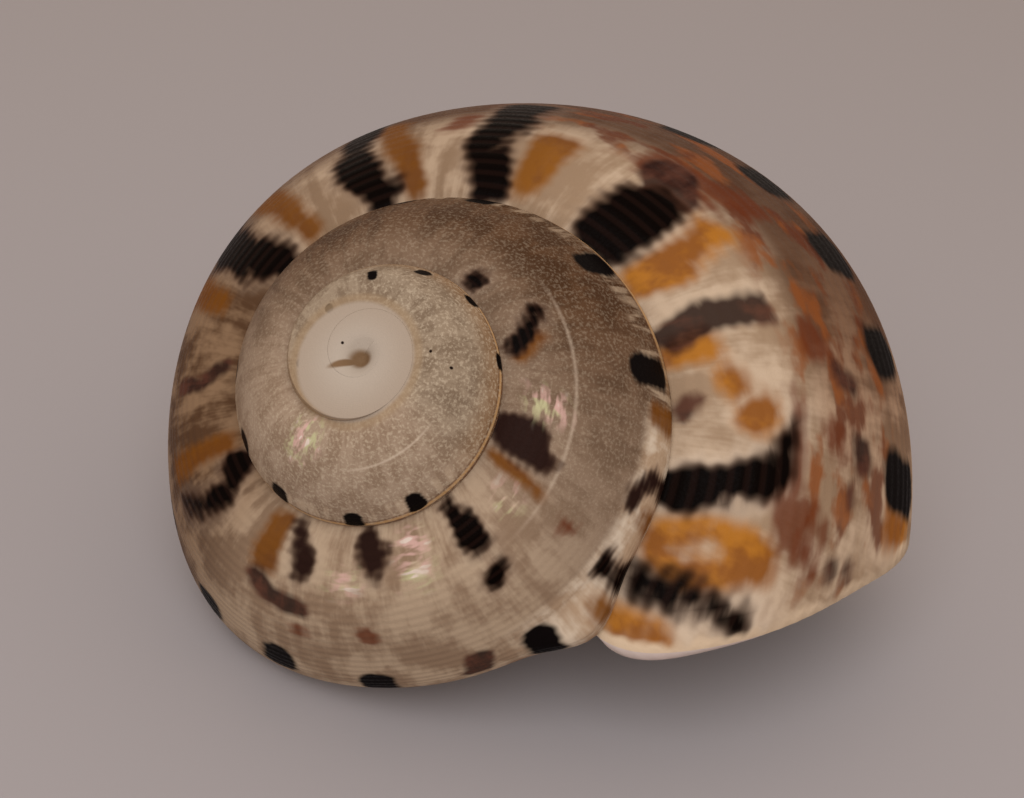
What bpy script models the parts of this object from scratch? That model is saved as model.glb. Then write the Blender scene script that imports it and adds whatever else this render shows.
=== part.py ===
"""An empty top shell, 15 mm across: one coiled, hollow wall of shell, lying on its base, mouth down.

The shell is worked out round its own axis first: x and y across it, z up towards the tip, in units of the
last joint's radius. The angle s counts growth, in radians: s = 0 where the lip meets the whorl before, and
one turn earlier s = -TURN. The number t runs across a whorl, from the joint with the whorl before (0), over
the shoulder and the widest part, round the base, to the axis (1).
"""

import bpy
import numpy as np

MM = 0.001
TURN = 2 * np.pi

# Driving dimensions
JOINT_RADIUS = 5.15 * MM  # from the axis to where the lip meets the whorl before
RADIAL_GROWTH = 2.047  # how much wider each whorl is than the one before
HEIGHT_GROWTH = 2.009  # how much taller
WALL = 0.075  # wall thickness at the lip
LINING = 0.035  # the thin layer laid over the whorl before, inside the mouth
PILLAR = 0.26  # radius of the pillar beside the mouth
HOLLOW_TURNS = 2.0
FIRST_TURN = -3.75

# Outline of a whorl, as radius from the axis and depth below the tip
AXIS_SHIFT = -0.048
JOINT = np.array([1.048, 1.075])
SHOULDER = np.array([1.619, 1.011])
FLANK = np.array([2.156, 1.890])
WIDEST = np.array([2.156, 2.082])
UNDERSIDE = np.array([2.156, 2.526])
BASE = np.array([1.412, 2.890])
NAVEL_RIM = np.array([0.503, 2.890])
WIDEST_AT = 0.6  # t at the widest part
JOINT_AT = 0.625  # t where the next whorl is joined on
ROW_AT = 0.495  # t of the row of dark marks
NAVEL_AT = 0.84  # t where the base starts to close on the axis
NAVEL_RADIUS = 0.52  # how far out the base is drawn towards the navel's depth
NAVEL_DEPTH = 2.25

# Fullness of the last whorl at each eighth of a turn up to the lip, and what it does to its height
FULLNESS = (-0.065, -0.114, -0.027, -0.132, 0.0, -0.069, -0.043, -0.122, -0.146, -0.146)
SAG = 0.79
KNUCKLE = 0.081  # the swelling under the lip's upper corner
KNUCKLE_WIDTH = 0.17

# How the shell lies on the floor: the way up and the way the front faces, in its own axes
PHASE = np.radians(-52.1)  # where the lip's upper corner is
UP = (0.26, 0.64, 0.723)
FACING = (0.264, -0.278, 0.924)
WORN_FLAT = 0.03  # how far the lowest points are worn

# The tip is worn nearly flat above one level, with a pit in its middle
TIP_LEVEL = -0.27
TIP_SLOPE = 0.12  # how much of the height above that level is left
PIT_RADIUS = 0.05
PIT_DEPTH = 0.06

# Mesh steps
STEPS = 36  # columns in a turn
UPPER_ROWS = 7  # rows from joint to joint
LOWER_ROWS = 11  # rows from there to the axis


def bezier(points, u):
    a, b, c, d = points
    u = np.asarray(u, float)[..., None]
    return (1 - u) ** 3 * a + 3 * (1 - u) ** 2 * u * b + 3 * (1 - u) * u**2 * c + u**3 * d


def ease(x):
    x = np.clip(x, 0, 1)
    return x * x * (3 - 2 * x)


def outline(t):
    """Radius and depth of the whorl's outline at the lip."""
    upper = bezier((JOINT, SHOULDER, FLANK, WIDEST), np.clip(t / WIDEST_AT, 0, 1))
    lower = bezier((WIDEST, UNDERSIDE, BASE, NAVEL_RIM), np.clip((t - WIDEST_AT) / (1 - WIDEST_AT), 0, 1))
    return np.where((t <= WIDEST_AT)[..., None], upper, lower)


def fullness(s):
    step = 8 * s / TURN + 8
    return sum(0.691 * v * np.exp(-1.5 * (step - i) ** 2) for i, v in enumerate(FULLNESS))


def free_whorl(s, t):
    """Radius and height of a whorl before its top is held to the whorl before."""
    shape = outline(t)
    wide = RADIAL_GROWTH ** (s / TURN)
    tall = HEIGHT_GROWTH ** (s / TURN)
    full = fullness(s) * ease(t / 0.45)
    knuckle = KNUCKLE * np.exp(-(((s + TURN) / KNUCKLE_WIDTH) ** 2)) * ease((t - ROW_AT + 0.03) / 0.08)
    radius = AXIS_SHIFT + shape[..., 0] * wide * (1 + full + knuckle)
    height = -shape[..., 1] * tall - SAG * full * wide
    return radius, height


def whorl(s, t):
    """Radius and height of the outside, round to the rim of the navel."""
    s, t = np.broadcast_arrays(np.asarray(s, float), np.asarray(t, float))
    radius, height = free_whorl(s, t)
    top_radius, top_height = free_whorl(s, np.zeros_like(t))
    held_radius, held_height = free_whorl(s - TURN, np.full_like(t, JOINT_AT))
    hold = np.clip(1 - t / WIDEST_AT, 0, 1) ** 1.5
    radius = radius + (held_radius - top_radius) * hold
    height = height + (held_height - top_height) * hold
    return radius, height


def outside(s, t):
    """Points of the outside, with the base drawn in to the axis."""
    radius, height = whorl(s, t)
    radius = radius * np.clip((1 - t) / (1 - NAVEL_AT), 0, 1)
    level = np.where(t > JOINT_AT, ease(radius / NAVEL_RADIUS), 1)
    return place(s, radius, height * level - NAVEL_DEPTH * (1 - level))


def inset(s, t, thickness):
    """Radius and height of the outside moved in by a wall's thickness, or out if that is negative."""
    radius, height = whorl(s, t)
    ahead_radius, ahead_height = whorl(s, t + 0.01)
    behind_radius, behind_height = whorl(s, t - 0.01)
    run, rise = ahead_radius - behind_radius, ahead_height - behind_height
    thick = thickness * RADIAL_GROWTH ** (s / TURN) / np.hypot(run, rise)
    return radius + thick * rise, height - thick * run


def place(s, radius, height):
    angle = PHASE - s
    return np.stack([radius * np.cos(angle), radius * np.sin(angle), height], -1)


def lip(t):
    """Where the lip ends: its lower edge stays behind its upper corner."""
    return -np.radians(40 * (1 - np.exp(-((3 * t) ** 1.3))) + 14 * t**2)


def throat(t):
    """Where the mouth's inner edge crosses the base of the whorl before."""
    return -TURN + lip(1.0) * ease((t - JOINT_AT) / (1 - JOINT_AT))


def hollow(back, rows):
    """One ring of the hollow, this angle behind the mouth: outer wall, pillar, whorl before."""
    wall = rows[rows < NAVEL_AT]
    wall_s = lip(wall) - back
    outer = np.stack(inset(wall_s, 0.05 + 0.93 * wall, WALL), -1)
    held = rows[(rows > JOINT_AT) & (rows < NAVEL_AT)][::-1]
    held_s = throat(held) - back
    inner = np.stack(inset(held_s, held, -LINING * RADIAL_GROWTH), -1)
    pillar = rows[rows > NAVEL_AT]
    pillar_s = np.concatenate([lip(pillar), throat(pillar[-2::-1]) + TURN]) - back
    pull = PILLAR * RADIAL_GROWTH ** (-back / TURN)
    low = np.array([pull, 0.85 * outer[-1, 1] + 0.15 * inner[0, 1]])
    high = np.array([pull, 0.35 * outer[-1, 1] + 0.65 * inner[0, 1]])
    between = np.linspace(0, 1, len(pillar_s) + 2)[1:-1]
    side = bezier((outer[-1], low, high, inner[0]), between)
    angles = np.concatenate([wall_s, pillar_s, held_s])
    return place(angles, *np.concatenate([outer, side, inner]).T)


def ribbon(left, right):
    """Faces between two columns of points, with triangles where both meet in one point."""
    quads = zip(left, left[1:], right[1:], right)
    return [(d, c, b, a) if b != c else (d, b, a) for a, b, c, d in quads]


def band(outer, inner):
    """Faces between two closed rings of points."""
    return ribbon(outer + outer[:1], inner + inner[:1])


def cap(ring, middle):
    """A fan of triangles from a ring of points to one in the middle."""
    return [(b, a, middle) for a, b in zip(ring, ring[1:] + ring[:1])]


def shell_mesh():
    """Points and faces of the closed wall: spire, last whorl, tip, rim of the mouth, hollow."""
    upper = np.linspace(0, JOINT_AT, UPPER_ROWS + 1)
    lower = np.linspace(JOINT_AT, 1, LOWER_ROWS + 1)
    rows = np.concatenate([upper, lower[1:]])
    points = []

    def add(positions):
        points.extend(np.reshape(positions, (-1, 3)))
        return list(range(len(points) - len(np.reshape(positions, (-1, 3))), len(points)))

    # Each column of the spire ends on the joint of the column one turn later.
    first = round(FIRST_TURN * STEPS)
    joint = {i: add(outside(TURN * i / STEPS, 0.0))[0] for i in range(first, 1)}
    faces = []
    before = None
    for i in range(first, 1 - STEPS):
        column = [joint[i]] + add(outside(TURN * i / STEPS, upper[1:-1])) + [joint[i + STEPS]]
        if before:
            faces += ribbon(before, column)
        else:
            open_end = column + [joint[k] for k in range(first + STEPS - 1, first, -1)]
        before = column
    middle = add(np.mean([points[k] for k in open_end], axis=0) + [0, 0, 0.01])[0]
    faces += cap(open_end[::-1], middle)

    # The last whorl runs from the mouth's inner edge round to the lip.
    navel = add((0, 0, -NAVEL_DEPTH))
    start = np.where(rows > JOINT_AT, throat(rows), -TURN)
    inner_edge = before + add(outside(start, rows)[UPPER_ROWS + 1 : -1]) + navel
    before = inner_edge
    for i in range(1, STEPS + 1):
        s = start + (lip(rows) - start) * i / STEPS
        s[0] = TURN * (i / STEPS - 1)
        column = [joint[i - STEPS]] + add(outside(s, rows)[1:-1]) + navel
        faces += ribbon(before, column)
        before = column

    # The rim of the mouth, and the hollow behind it.
    ring = before + inner_edge[-2:UPPER_ROWS:-1]
    depths = np.concatenate([np.arange(0, 1, 1 / STEPS), np.arange(1, HOLLOW_TURNS, 2 / STEPS)])
    for depth in depths:
        deeper = add(hollow(TURN * depth, rows))
        faces += band(ring, deeper)
        ring = deeper
    faces += cap(ring, add(np.mean([points[k] for k in ring], axis=0))[0])
    return np.array(points), faces


def worn(points):
    """The shell with its tip worn."""
    height = points[:, 2]
    pit = PIT_DEPTH * np.exp(-(np.hypot(points[:, 0], points[:, 1]) / PIT_RADIUS) ** 2)
    low = TIP_LEVEL + TIP_SLOPE * (height - TIP_LEVEL) - pit
    return np.column_stack([points[:, :2], np.where(height > TIP_LEVEL, low, height)])


def lying(points):
    """Turns the shell from its own axis to how it lies, and centres it on the floor."""
    up = np.array(UP) / np.linalg.norm(UP)
    right = np.cross(up, FACING)
    right /= np.linalg.norm(right)
    points = points @ np.stack([right, np.cross(up, right), up], -1)
    floor = points[:, 2].min() + WORN_FLAT
    points[:, 2] = np.maximum(points[:, 2], floor)
    low, high = points.min(axis=0), points.max(axis=0)
    return (points - [(low[0] + high[0]) / 2, (low[1] + high[1]) / 2, floor]) * JOINT_RADIUS


def shell_material():
    material = bpy.data.materials.new("shell")
    material.use_nodes = True
    finish = material.node_tree.nodes["Principled BSDF"]
    finish.inputs["Base Color"].default_value = (0.50, 0.38, 0.28, 1)
    finish.inputs["Roughness"].default_value = 0.35
    finish.inputs["Metallic"].default_value = 0.0
    return material


def main():
    for thing in list(bpy.data.objects):
        bpy.data.objects.remove(thing)
    points, faces = shell_mesh()
    mesh = bpy.data.meshes.new("shell")
    mesh.from_pydata(lying(worn(points)).tolist(), [], faces)
    mesh.materials.append(shell_material())
    shell = bpy.data.objects.new("shell", mesh)
    bpy.context.scene.collection.objects.link(shell)


main()
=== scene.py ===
"""A top shell, 15 mm across, lying mouth down on a plain floor.

The shell is worked out round its own axis first: z up towards the tip, in units of the last joint's radius.
The angle s counts growth, in radians: s = 0 where the lip meets the whorl before, and one turn earlier
s = -TURN. The number t runs across a whorl, from the joint with the whorl before (0), over the shoulder and
the widest part, round the base, to the axis (1). Markings are placed by turn (s / TURN) and t.
"""

import math

import bpy
from mathutils import Euler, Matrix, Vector


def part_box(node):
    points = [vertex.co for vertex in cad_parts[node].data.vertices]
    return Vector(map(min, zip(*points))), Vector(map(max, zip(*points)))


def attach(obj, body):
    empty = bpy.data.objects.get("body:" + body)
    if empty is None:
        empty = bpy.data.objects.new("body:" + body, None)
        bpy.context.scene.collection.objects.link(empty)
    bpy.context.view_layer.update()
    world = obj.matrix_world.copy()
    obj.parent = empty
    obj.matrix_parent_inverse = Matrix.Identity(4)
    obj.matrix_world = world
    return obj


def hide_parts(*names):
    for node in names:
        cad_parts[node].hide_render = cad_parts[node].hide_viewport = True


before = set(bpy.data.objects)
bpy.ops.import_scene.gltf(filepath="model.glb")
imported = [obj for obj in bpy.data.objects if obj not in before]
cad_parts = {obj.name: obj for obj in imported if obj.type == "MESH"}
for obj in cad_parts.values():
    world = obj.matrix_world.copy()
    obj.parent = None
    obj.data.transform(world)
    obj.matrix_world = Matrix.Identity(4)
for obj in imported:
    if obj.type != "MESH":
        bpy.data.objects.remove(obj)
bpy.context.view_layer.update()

MM = 0.001
TURN = 2 * math.pi

# ------------------------------------------------------------------ sizes of the shell

JOINT_RADIUS = 5.15 * MM
SIZES = {
    "Radial growth": 2.047,
    "Height growth": 2.009,
    "Axis shift": -0.048,
    "Wall": 0.075,
    "Lining": 0.035,
    "Pillar": 0.26,
    "Sag": 0.79,
    "Knuckle": 0.081,
    "Tip level": -0.27,
    "Tip slope": 0.02,
    "Pit radius": 0.045,
    "Pit depth": 0.05,
    "Navel depth": 2.25,
    "Cords": 40.0,
    "Cord height": 0.0015,
}

FORM = ("Radial growth", "Height growth", "Axis shift", "Sag", "Knuckle")

# Outline of a whorl, as (radius from the axis, depth below the tip)
JOINT = (1.048, 1.075)
SHOULDER = (1.619, 1.011)
FLANK = (2.156, 1.890)
WIDEST = (2.156, 2.082)
UNDERSIDE = (2.156, 2.526)
BASE = (1.412, 2.890)
NAVEL_RIM = (0.503, 2.890)
WIDEST_AT = 0.6
JOINT_AT = 0.625
ROW_AT = 0.495
NAVEL_AT = 0.84
NAVEL_RADIUS = 0.52
FULL_FROM = 0.45
HOLD_CURVE = 1.5
APEX_HEIGHT = -0.06

# How much fuller the whorl is than an even coil, at eighths of a turn from one turn before the lip
FULLNESS = (-0.065, -0.114, -0.027, -0.132, 0.0, -0.069, -0.043, -0.122, -0.146, -0.146)
EIGHTHS = 8
FULLNESS_SHARPNESS = 1.5
FULLNESS_SHARE = 0.691  # neighbouring bells of this height add up to 1
KNUCKLE_WIDTH = 0.17
KNUCKLE_RISE = 0.08
KNUCKLE_ABOVE_ROW = 0.03

# The lip, which stays further behind its upper corner the lower it is
LIP_SWEEP = math.radians(40)
LIP_TRAIL = math.radians(14)
LIP_REACH = 3.0
LIP_CURVE = 1.3

# The hollow: its wall and its pillar
WALL_START = 0.05
WALL_SPREAD = 0.93
PILLAR_LOW = 0.15
PILLAR_HIGH = 0.65
HOLLOW_END = 0.4
HOLLOW_END_PULL = 1.6

PHASE = math.radians(-52.1)
UP = Vector((0.26, 0.64, 0.723))
FACING = Vector((0.264, -0.278, 0.924))
PIT_PLACE = (-0.008, -0.017)
TIP_PLACE = Vector((-3.594, -5.196, 8.448)) * MM  # the unworn tip, from the middle of the shell's footprint

# Mesh steps
STEPS = 144
SPIRE_STEPS = 468
FIRST_TURN = -1 - SPIRE_STEPS / STEPS
UPPER_ROWS = 90
LOWER_ROWS = 36
RIM_ROWS = 8
HOLLOW_ROWS = 84
HOLLOW_TURNS = 1.95
RIM_BEVEL = 0.12
CORDS_FROM = 1.3  # turns before the lip
RELIEF = 0.04 * MM
MERGE = 2e-5
SLOPE_STEP = 0.01
HAIR = 1e-4  # tells a row on a boundary from the next one


# ------------------------------------------------------------------ expressions made of nodes


class Value:
    """A node's output that Python's operators work on: an expression adds its nodes."""

    def __init__(self, graph, socket):
        self.graph = graph
        self.socket = socket

    def __add__(self, other):
        return self.graph.maths("ADD", self, other)

    def __radd__(self, other):
        return self.graph.maths("ADD", other, self)

    def __sub__(self, other):
        return self.graph.maths("SUBTRACT", self, other)

    def __rsub__(self, other):
        return self.graph.maths("SUBTRACT", other, self)

    def __mul__(self, other):
        return self.graph.maths("MULTIPLY", self, other)

    def __rmul__(self, other):
        return self.graph.maths("MULTIPLY", other, self)

    def __truediv__(self, other):
        return self.graph.maths("DIVIDE", self, other)

    def __rtruediv__(self, other):
        return self.graph.maths("DIVIDE", other, self)

    def __pow__(self, other):
        return self.graph.maths("POWER", self, other)

    def __rpow__(self, other):
        return self.graph.maths("POWER", other, self)

    def __neg__(self):
        return self.graph.maths("MULTIPLY", self, -1.0)

    def output(self, name):
        """Another output of the same node."""
        return Value(self.graph, self.socket.node.outputs[name])


class Graph:
    """A node tree, and the one method that adds a node to it."""

    def __init__(self, tree):
        self.tree = tree

    def node(self, kind, settings=None, sockets=None, output=0):
        """Adds a node, with its settings first and then its sockets' values or links."""
        node = self.tree.nodes.new(kind)
        for name, setting in (settings or {}).items():
            setattr(node, name, setting)
        for name, given in (sockets or {}).items():
            socket = node.inputs[name]
            if isinstance(given, Value):
                self.tree.links.new(given.socket, socket)
            elif given is not None:
                socket.default_value = given
        return Value(self, node.outputs[output]) if node.outputs else node

    def maths(self, operation, *operands):
        """One step of arithmetic, on vectors where an operand is one."""
        if not any(is_vector(x) for x in operands):
            return self.node("ShaderNodeMath", {"operation": operation}, dict(enumerate(operands)))
        operands = [x if isinstance(x, (Value, tuple)) else (x, x, x) for x in operands]
        output = "Value" if operation == "DOT_PRODUCT" else "Vector"
        return self.node("ShaderNodeVectorMath", {"operation": operation}, dict(enumerate(operands)), output)

    def call(self, group, given):
        """A node group used as a function, with its first output as the result."""
        return self.node("GeometryNodeGroup", {"node_tree": group}, given)

    def vector(self, x, y, z=0.0):
        return self.node("ShaderNodeCombineXYZ", None, {0: x, 1: y, 2: z})

    def parts(self, vector):
        """x, y and z of a vector."""
        x = self.node("ShaderNodeSeparateXYZ", None, {0: vector})
        return x, x.output("Y"), x.output("Z")

    def noise(self, vector, scale, detail=2.0, rough=0.5, solid=False):
        """Noise on the unrolled shell, or through space for the shell's own place."""
        settings = {"noise_dimensions": "3D" if solid else "2D"}
        sockets = {"Vector": vector, "Scale": scale, "Detail": detail, "Roughness": rough}
        return self.node("ShaderNodeTexNoise", settings, sockets)

    def mix(self, under, on_top, share):
        """One colour laid over another."""
        return self.node("ShaderNodeMix", {"data_type": "RGBA"}, {0: share, 6: under, 7: on_top}, 2)

    def ramp(self, x, low, high, bottom=0.0, top=1.0):
        """Rises smoothly from bottom to top as x goes from low to high."""
        sockets = {"Value": x, "From Min": low, "From Max": high, "To Min": bottom, "To Max": top}
        return self.node("ShaderNodeMapRange", {"interpolation_type": "SMOOTHSTEP"}, sockets)


def function_group(name, inputs, outputs, build):
    """A node group of numbers, made by a function of its inputs."""
    tree = bpy.data.node_groups.new(name, "GeometryNodeTree")
    for one in inputs:
        tree.interface.new_socket(one, in_out="INPUT", socket_type="NodeSocketFloat")
    for one in outputs:
        tree.interface.new_socket(one, in_out="OUTPUT", socket_type="NodeSocketFloat")
    graph = Graph(tree)
    given = graph.node("NodeGroupInput")
    results = build(graph, {one: given.output(one) for one in inputs})
    graph.node("NodeGroupOutput", None, dict(zip(outputs, results)))
    return tree


def is_vector(x):
    return isinstance(x, tuple) or (isinstance(x, Value) and x.socket.type == "VECTOR")


def graph_of(*values):
    return next((x.graph for x in values if isinstance(x, Value)), None)


def exp(x):
    return x.graph.maths("EXPONENT", x) if isinstance(x, Value) else math.exp(x)


def sine(x):
    return x.graph.maths("SINE", x)


def cosine(x):
    return x.graph.maths("COSINE", x)


def hypot(x, y):
    return graph_of(x, y).maths("SQRT", x * x + y * y)


def least(x, y):
    graph = graph_of(x, y)
    return graph.maths("MINIMUM", x, y) if graph else min(x, y)


def most(x, y):
    graph = graph_of(x, y)
    return graph.maths("MAXIMUM", x, y) if graph else max(x, y)


def clip(x):
    return least(most(x, 0.0), 1.0)


def ease(x):
    x = clip(x)
    return x * x * (3.0 - 2.0 * x)


def over(x, limit):
    """1 where x is over the limit, else 0."""
    return graph_of(x, limit).maths("GREATER_THAN", x, limit)


def between(a, b, share):
    return a + (b - a) * share


# ------------------------------------------------------------------ the shape of a whorl


def weighted(weights, amounts):
    """Amounts added up by their weights."""
    total = weights[0] * amounts[0]
    for weight, amount in zip(weights[1:], amounts[1:]):
        total = total + weight * amount
    return total


def bezier(points, u):
    """(radius, depth) at u along the smooth curve that four points pull."""
    v = 1.0 - u
    weights = (v * v * v, v * v * u * 3.0, v * u * u * 3.0, u * u * u)
    return tuple(weighted(weights, axis) for axis in zip(*points))


def outline(t):
    """Radius and depth of the whorl's outline at the lip."""
    upper = bezier((JOINT, SHOULDER, FLANK, WIDEST), clip(t / WIDEST_AT))
    lower = bezier((WIDEST, UNDERSIDE, BASE, NAVEL_RIM), clip((t - WIDEST_AT) / (1 - WIDEST_AT)))
    if not isinstance(t, Value):
        return lower if t > WIDEST_AT else upper
    below = over(t, WIDEST_AT)
    return between(upper[0], lower[0], below), between(upper[1], lower[1], below)


def fullness_group():
    """How full the whorl is at an angle of growth."""

    def build(graph, given):
        step = given["Angle"] * (EIGHTHS / TURN) + float(EIGHTHS)
        total = 0.0
        for i, amount in enumerate(FULLNESS):
            if amount:
                away = step - float(i)
                total = exp(away * away * -FULLNESS_SHARPNESS) * (FULLNESS_SHARE * amount) + total
        return [total]

    return function_group("fullness", ["Angle"], ["Fullness"], build)


def swelling(s, knuckle):
    """The swelling under the lip's upper corner."""
    away = (s + TURN) / KNUCKLE_WIDTH
    return exp(away * away * -1.0) * knuckle


def whorl_group():
    """Radius and height of the outside at an angle of growth and a place across the whorl."""
    fullness = fullness_group()

    def build(graph, given):
        s, t = given["Angle"], given["Across"]
        radial, vertical = given["Radial growth"], given["Height growth"]
        shift, sag, knuckle = given["Axis shift"], given["Sag"], given["Knuckle"]
        wide = radial ** (s / TURN)
        tall = vertical ** (s / TURN)
        full = graph.call(fullness, {"Angle": s}) * ease(t / FULL_FROM)
        bulge = swelling(s, knuckle) * ease((t - (ROW_AT - KNUCKLE_ABOVE_ROW)) / KNUCKLE_RISE)
        shape = outline(t)
        radius = shift + shape[0] * wide * (1.0 + full + bulge)
        height = shape[1] * -1.0 * tall - sag * full * wide
        # The top is held to the whorl before.
        full_before = graph.call(fullness, {"Angle": s - TURN})
        wide_before = wide / radial
        held_shape = outline(JOINT_AT)
        held_radius = shift + held_shape[0] * wide_before * (1.0 + full_before + swelling(s - TURN, knuckle))
        held_height = -held_shape[1] * tall / vertical - sag * full_before * wide_before
        hold = clip(1.0 - t / WIDEST_AT) ** HOLD_CURVE
        radius = radius + (held_radius - shift - JOINT[0] * wide) * hold
        height = height + (held_height + JOINT[1] * tall) * hold
        return [radius, height]

    return function_group("whorl", ["Angle", "Across", *FORM], ["Radius", "Height"], build)


def inset_group(whorl):
    """The outside moved in by a wall's thickness, or out if that is negative."""

    def build(graph, given):
        s, t = given["Angle"], given["Across"]
        form = {name: given[name] for name in FORM}
        radius = graph.call(whorl, {"Angle": s, "Across": t, **form})
        ahead = graph.call(whorl, {"Angle": s, "Across": t + SLOPE_STEP, **form})
        behind = graph.call(whorl, {"Angle": s, "Across": t - SLOPE_STEP, **form})
        run, rise = ahead - behind, ahead.output("Height") - behind.output("Height")
        thick = given["Thickness"] * form["Radial growth"] ** (s / TURN) / hypot(run, rise)
        return [radius + thick * rise, radius.output("Height") - thick * run]

    return function_group("inset", ["Angle", "Across", "Thickness", *FORM], ["Radius", "Height"], build)


class Coil:
    """The whorl's outside and what is measured from it, as functions in one tree."""

    def __init__(self, graph, sizes, whorl, inset):
        self.graph = graph
        self.sizes = sizes
        self.form = {name: sizes[name] for name in FORM}
        self.whorl = whorl
        self.inset_tree = inset

    def at(self, s, t):
        radius = self.graph.call(self.whorl, {"Angle": s, "Across": t, **self.form})
        return radius, radius.output("Height")

    def inset(self, s, t, thickness):
        given = {"Angle": s, "Across": t, "Thickness": thickness, **self.form}
        radius = self.graph.call(self.inset_tree, given)
        return radius, radius.output("Height")

    def outside(self, s, t):
        """Radius and height of the outside, with the base drawn in to the axis."""
        radius, height = self.at(s, t)
        radius = radius * clip((1.0 - t) / (1 - NAVEL_AT))
        near_axis = (1.0 - ease(radius / NAVEL_RADIUS)) * over(t, JOINT_AT + HAIR)
        return radius, between(height, -1.0 * self.sizes["Navel depth"], near_axis)


def place(s, radius, height):
    graph = graph_of(s, radius)
    angle = PHASE - s
    return graph.vector(radius * cosine(angle), radius * sine(angle), height)


def lip(t):
    """Where the lip ends: its lower edge stays behind its upper corner."""
    swept = 1.0 - exp(((t * LIP_REACH) ** LIP_CURVE) * -1.0)
    return swept * -LIP_SWEEP - t * t * LIP_TRAIL


def wall_place(t):
    """The place across the whorl that the wall's inner side lies under."""
    return t * WALL_SPREAD + WALL_START


def throat(t):
    """Where the mouth's inner edge crosses the base of the whorl before."""
    return ease((t - JOINT_AT) / (1 - JOINT_AT)) * lip(1.0) - TURN


# ------------------------------------------------------------------ markings

# Each bar runs from (turn, t) to (turn, t), with its half width in joint radii.
ALONG = 11.0  # joint radii in a turn of the last whorl
ACROSS = 2.9  # joint radii across it

BLACK_BARS = (
    (-0.969, 0.010, -0.975, 0.090, 0.11),
    (-0.976, 0.070, -0.981, 0.162, 0.15),
    (-0.976, 0.222, -0.977, 0.250, 0.11),
    (-0.879, 0.030, -0.892, 0.092, 0.14),
    (-0.807, 0.023, -0.828, 0.120, 0.10),
    (-0.704, 0.020, -0.729, 0.080, 0.11),
    (-0.729, 0.080, -0.723, 0.170, 0.12),
    (-0.722, 0.160, -0.712, 0.250, 0.10),
    (-0.510, 0.025, -0.537, 0.107, 0.15),
    (-0.538, 0.100, -0.532, 0.600, 0.155),
    (-0.421, 0.025, -0.446, 0.115, 0.13),
    (-0.447, 0.105, -0.440, 0.560, 0.12),
    (-0.349, 0.020, -0.361, 0.120, 0.145),
    (-0.362, 0.110, -0.358, 0.350, 0.135),
    (-0.260, 0.010, -0.262, 0.140, 0.23),
    (-0.090, 0.000, -0.101, 0.080, 0.135),
    (-0.101, 0.060, -0.113, 0.150, 0.10),
    (-0.113, 0.168, -0.140, 0.190, 0.045),
    (-0.035, 0.000, -0.042, 0.080, 0.10),
    (-0.043, 0.070, -0.046, 0.120, 0.09),
    (-0.048, 0.110, -0.051, 0.185, 0.08),
    (-1.073, 0.432, -1.086, 0.480, 0.075),
    (-1.087, 0.470, -1.091, 0.630, 0.085),
    (-1.029, 0.450, -1.034, 0.630, 0.10),
    (-1.251, 0.040, -1.271, 0.056, 0.10),
    (-1.158, 0.030, -1.180, 0.088, 0.07),
    (-1.177, 0.080, -1.204, 0.142, 0.075),
    (-1.073, 0.020, -1.072, 0.115, 0.25),
    (-1.065, 0.105, -1.060, 0.165, 0.11),
)
BROWN_BARS = (
    (-0.148, 0.038, -0.134, 0.006, 0.045),
    (-0.114, 0.318, -0.114, 0.328, 0.045),
    (-0.138, 0.354, -0.128, 0.362, 0.055),
    (-0.163, 0.300, -0.160, 0.350, 0.05),
    (-0.087, 0.304, -0.086, 0.314, 0.035),
    (-0.089, 0.350, -0.088, 0.366, 0.035),
    (-0.182, 0.010, -0.192, 0.080, 0.085),
    (-0.192, 0.080, -0.190, 0.190, 0.085),
    (-0.272, 0.165, -0.262, 0.205, 0.20),
    (-0.936, 0.460, -0.932, 0.560, 0.10),
    (-0.786, 0.175, -0.800, 0.225, 0.08),
    (-0.800, 0.225, -0.832, 0.235, 0.08),
    (-0.6145, 0.030, -0.634, 0.107, 0.05),
    (-0.634, 0.100, -0.631, 0.200, 0.05),
)
RED_BARS = (
    (-0.288, 0.190, -0.240, 0.290, 0.11),
    (-0.150, 0.200, -0.084, 0.196, 0.05),
    (-0.106, 0.200, -0.084, 0.215, 0.13),
    (-0.138, 0.262, -0.130, 0.278, 0.075),
    (-0.183, 0.260, -0.172, 0.268, 0.08),
    (-0.099, 0.262, -0.096, 0.268, 0.05),
    (-0.083, 0.270, -0.079, 0.256, 0.045),
    (-0.290, 0.225, -0.240, 0.215, 0.07),
    (-0.388, 0.190, -0.384, 0.250, 0.09),
    (-0.829, 0.298, -0.825, 0.302, 0.06),
    (-0.878, 0.290, -0.872, 0.298, 0.07),
    (-1.036, 0.290, -1.033, 0.295, 0.075),
)
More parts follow.
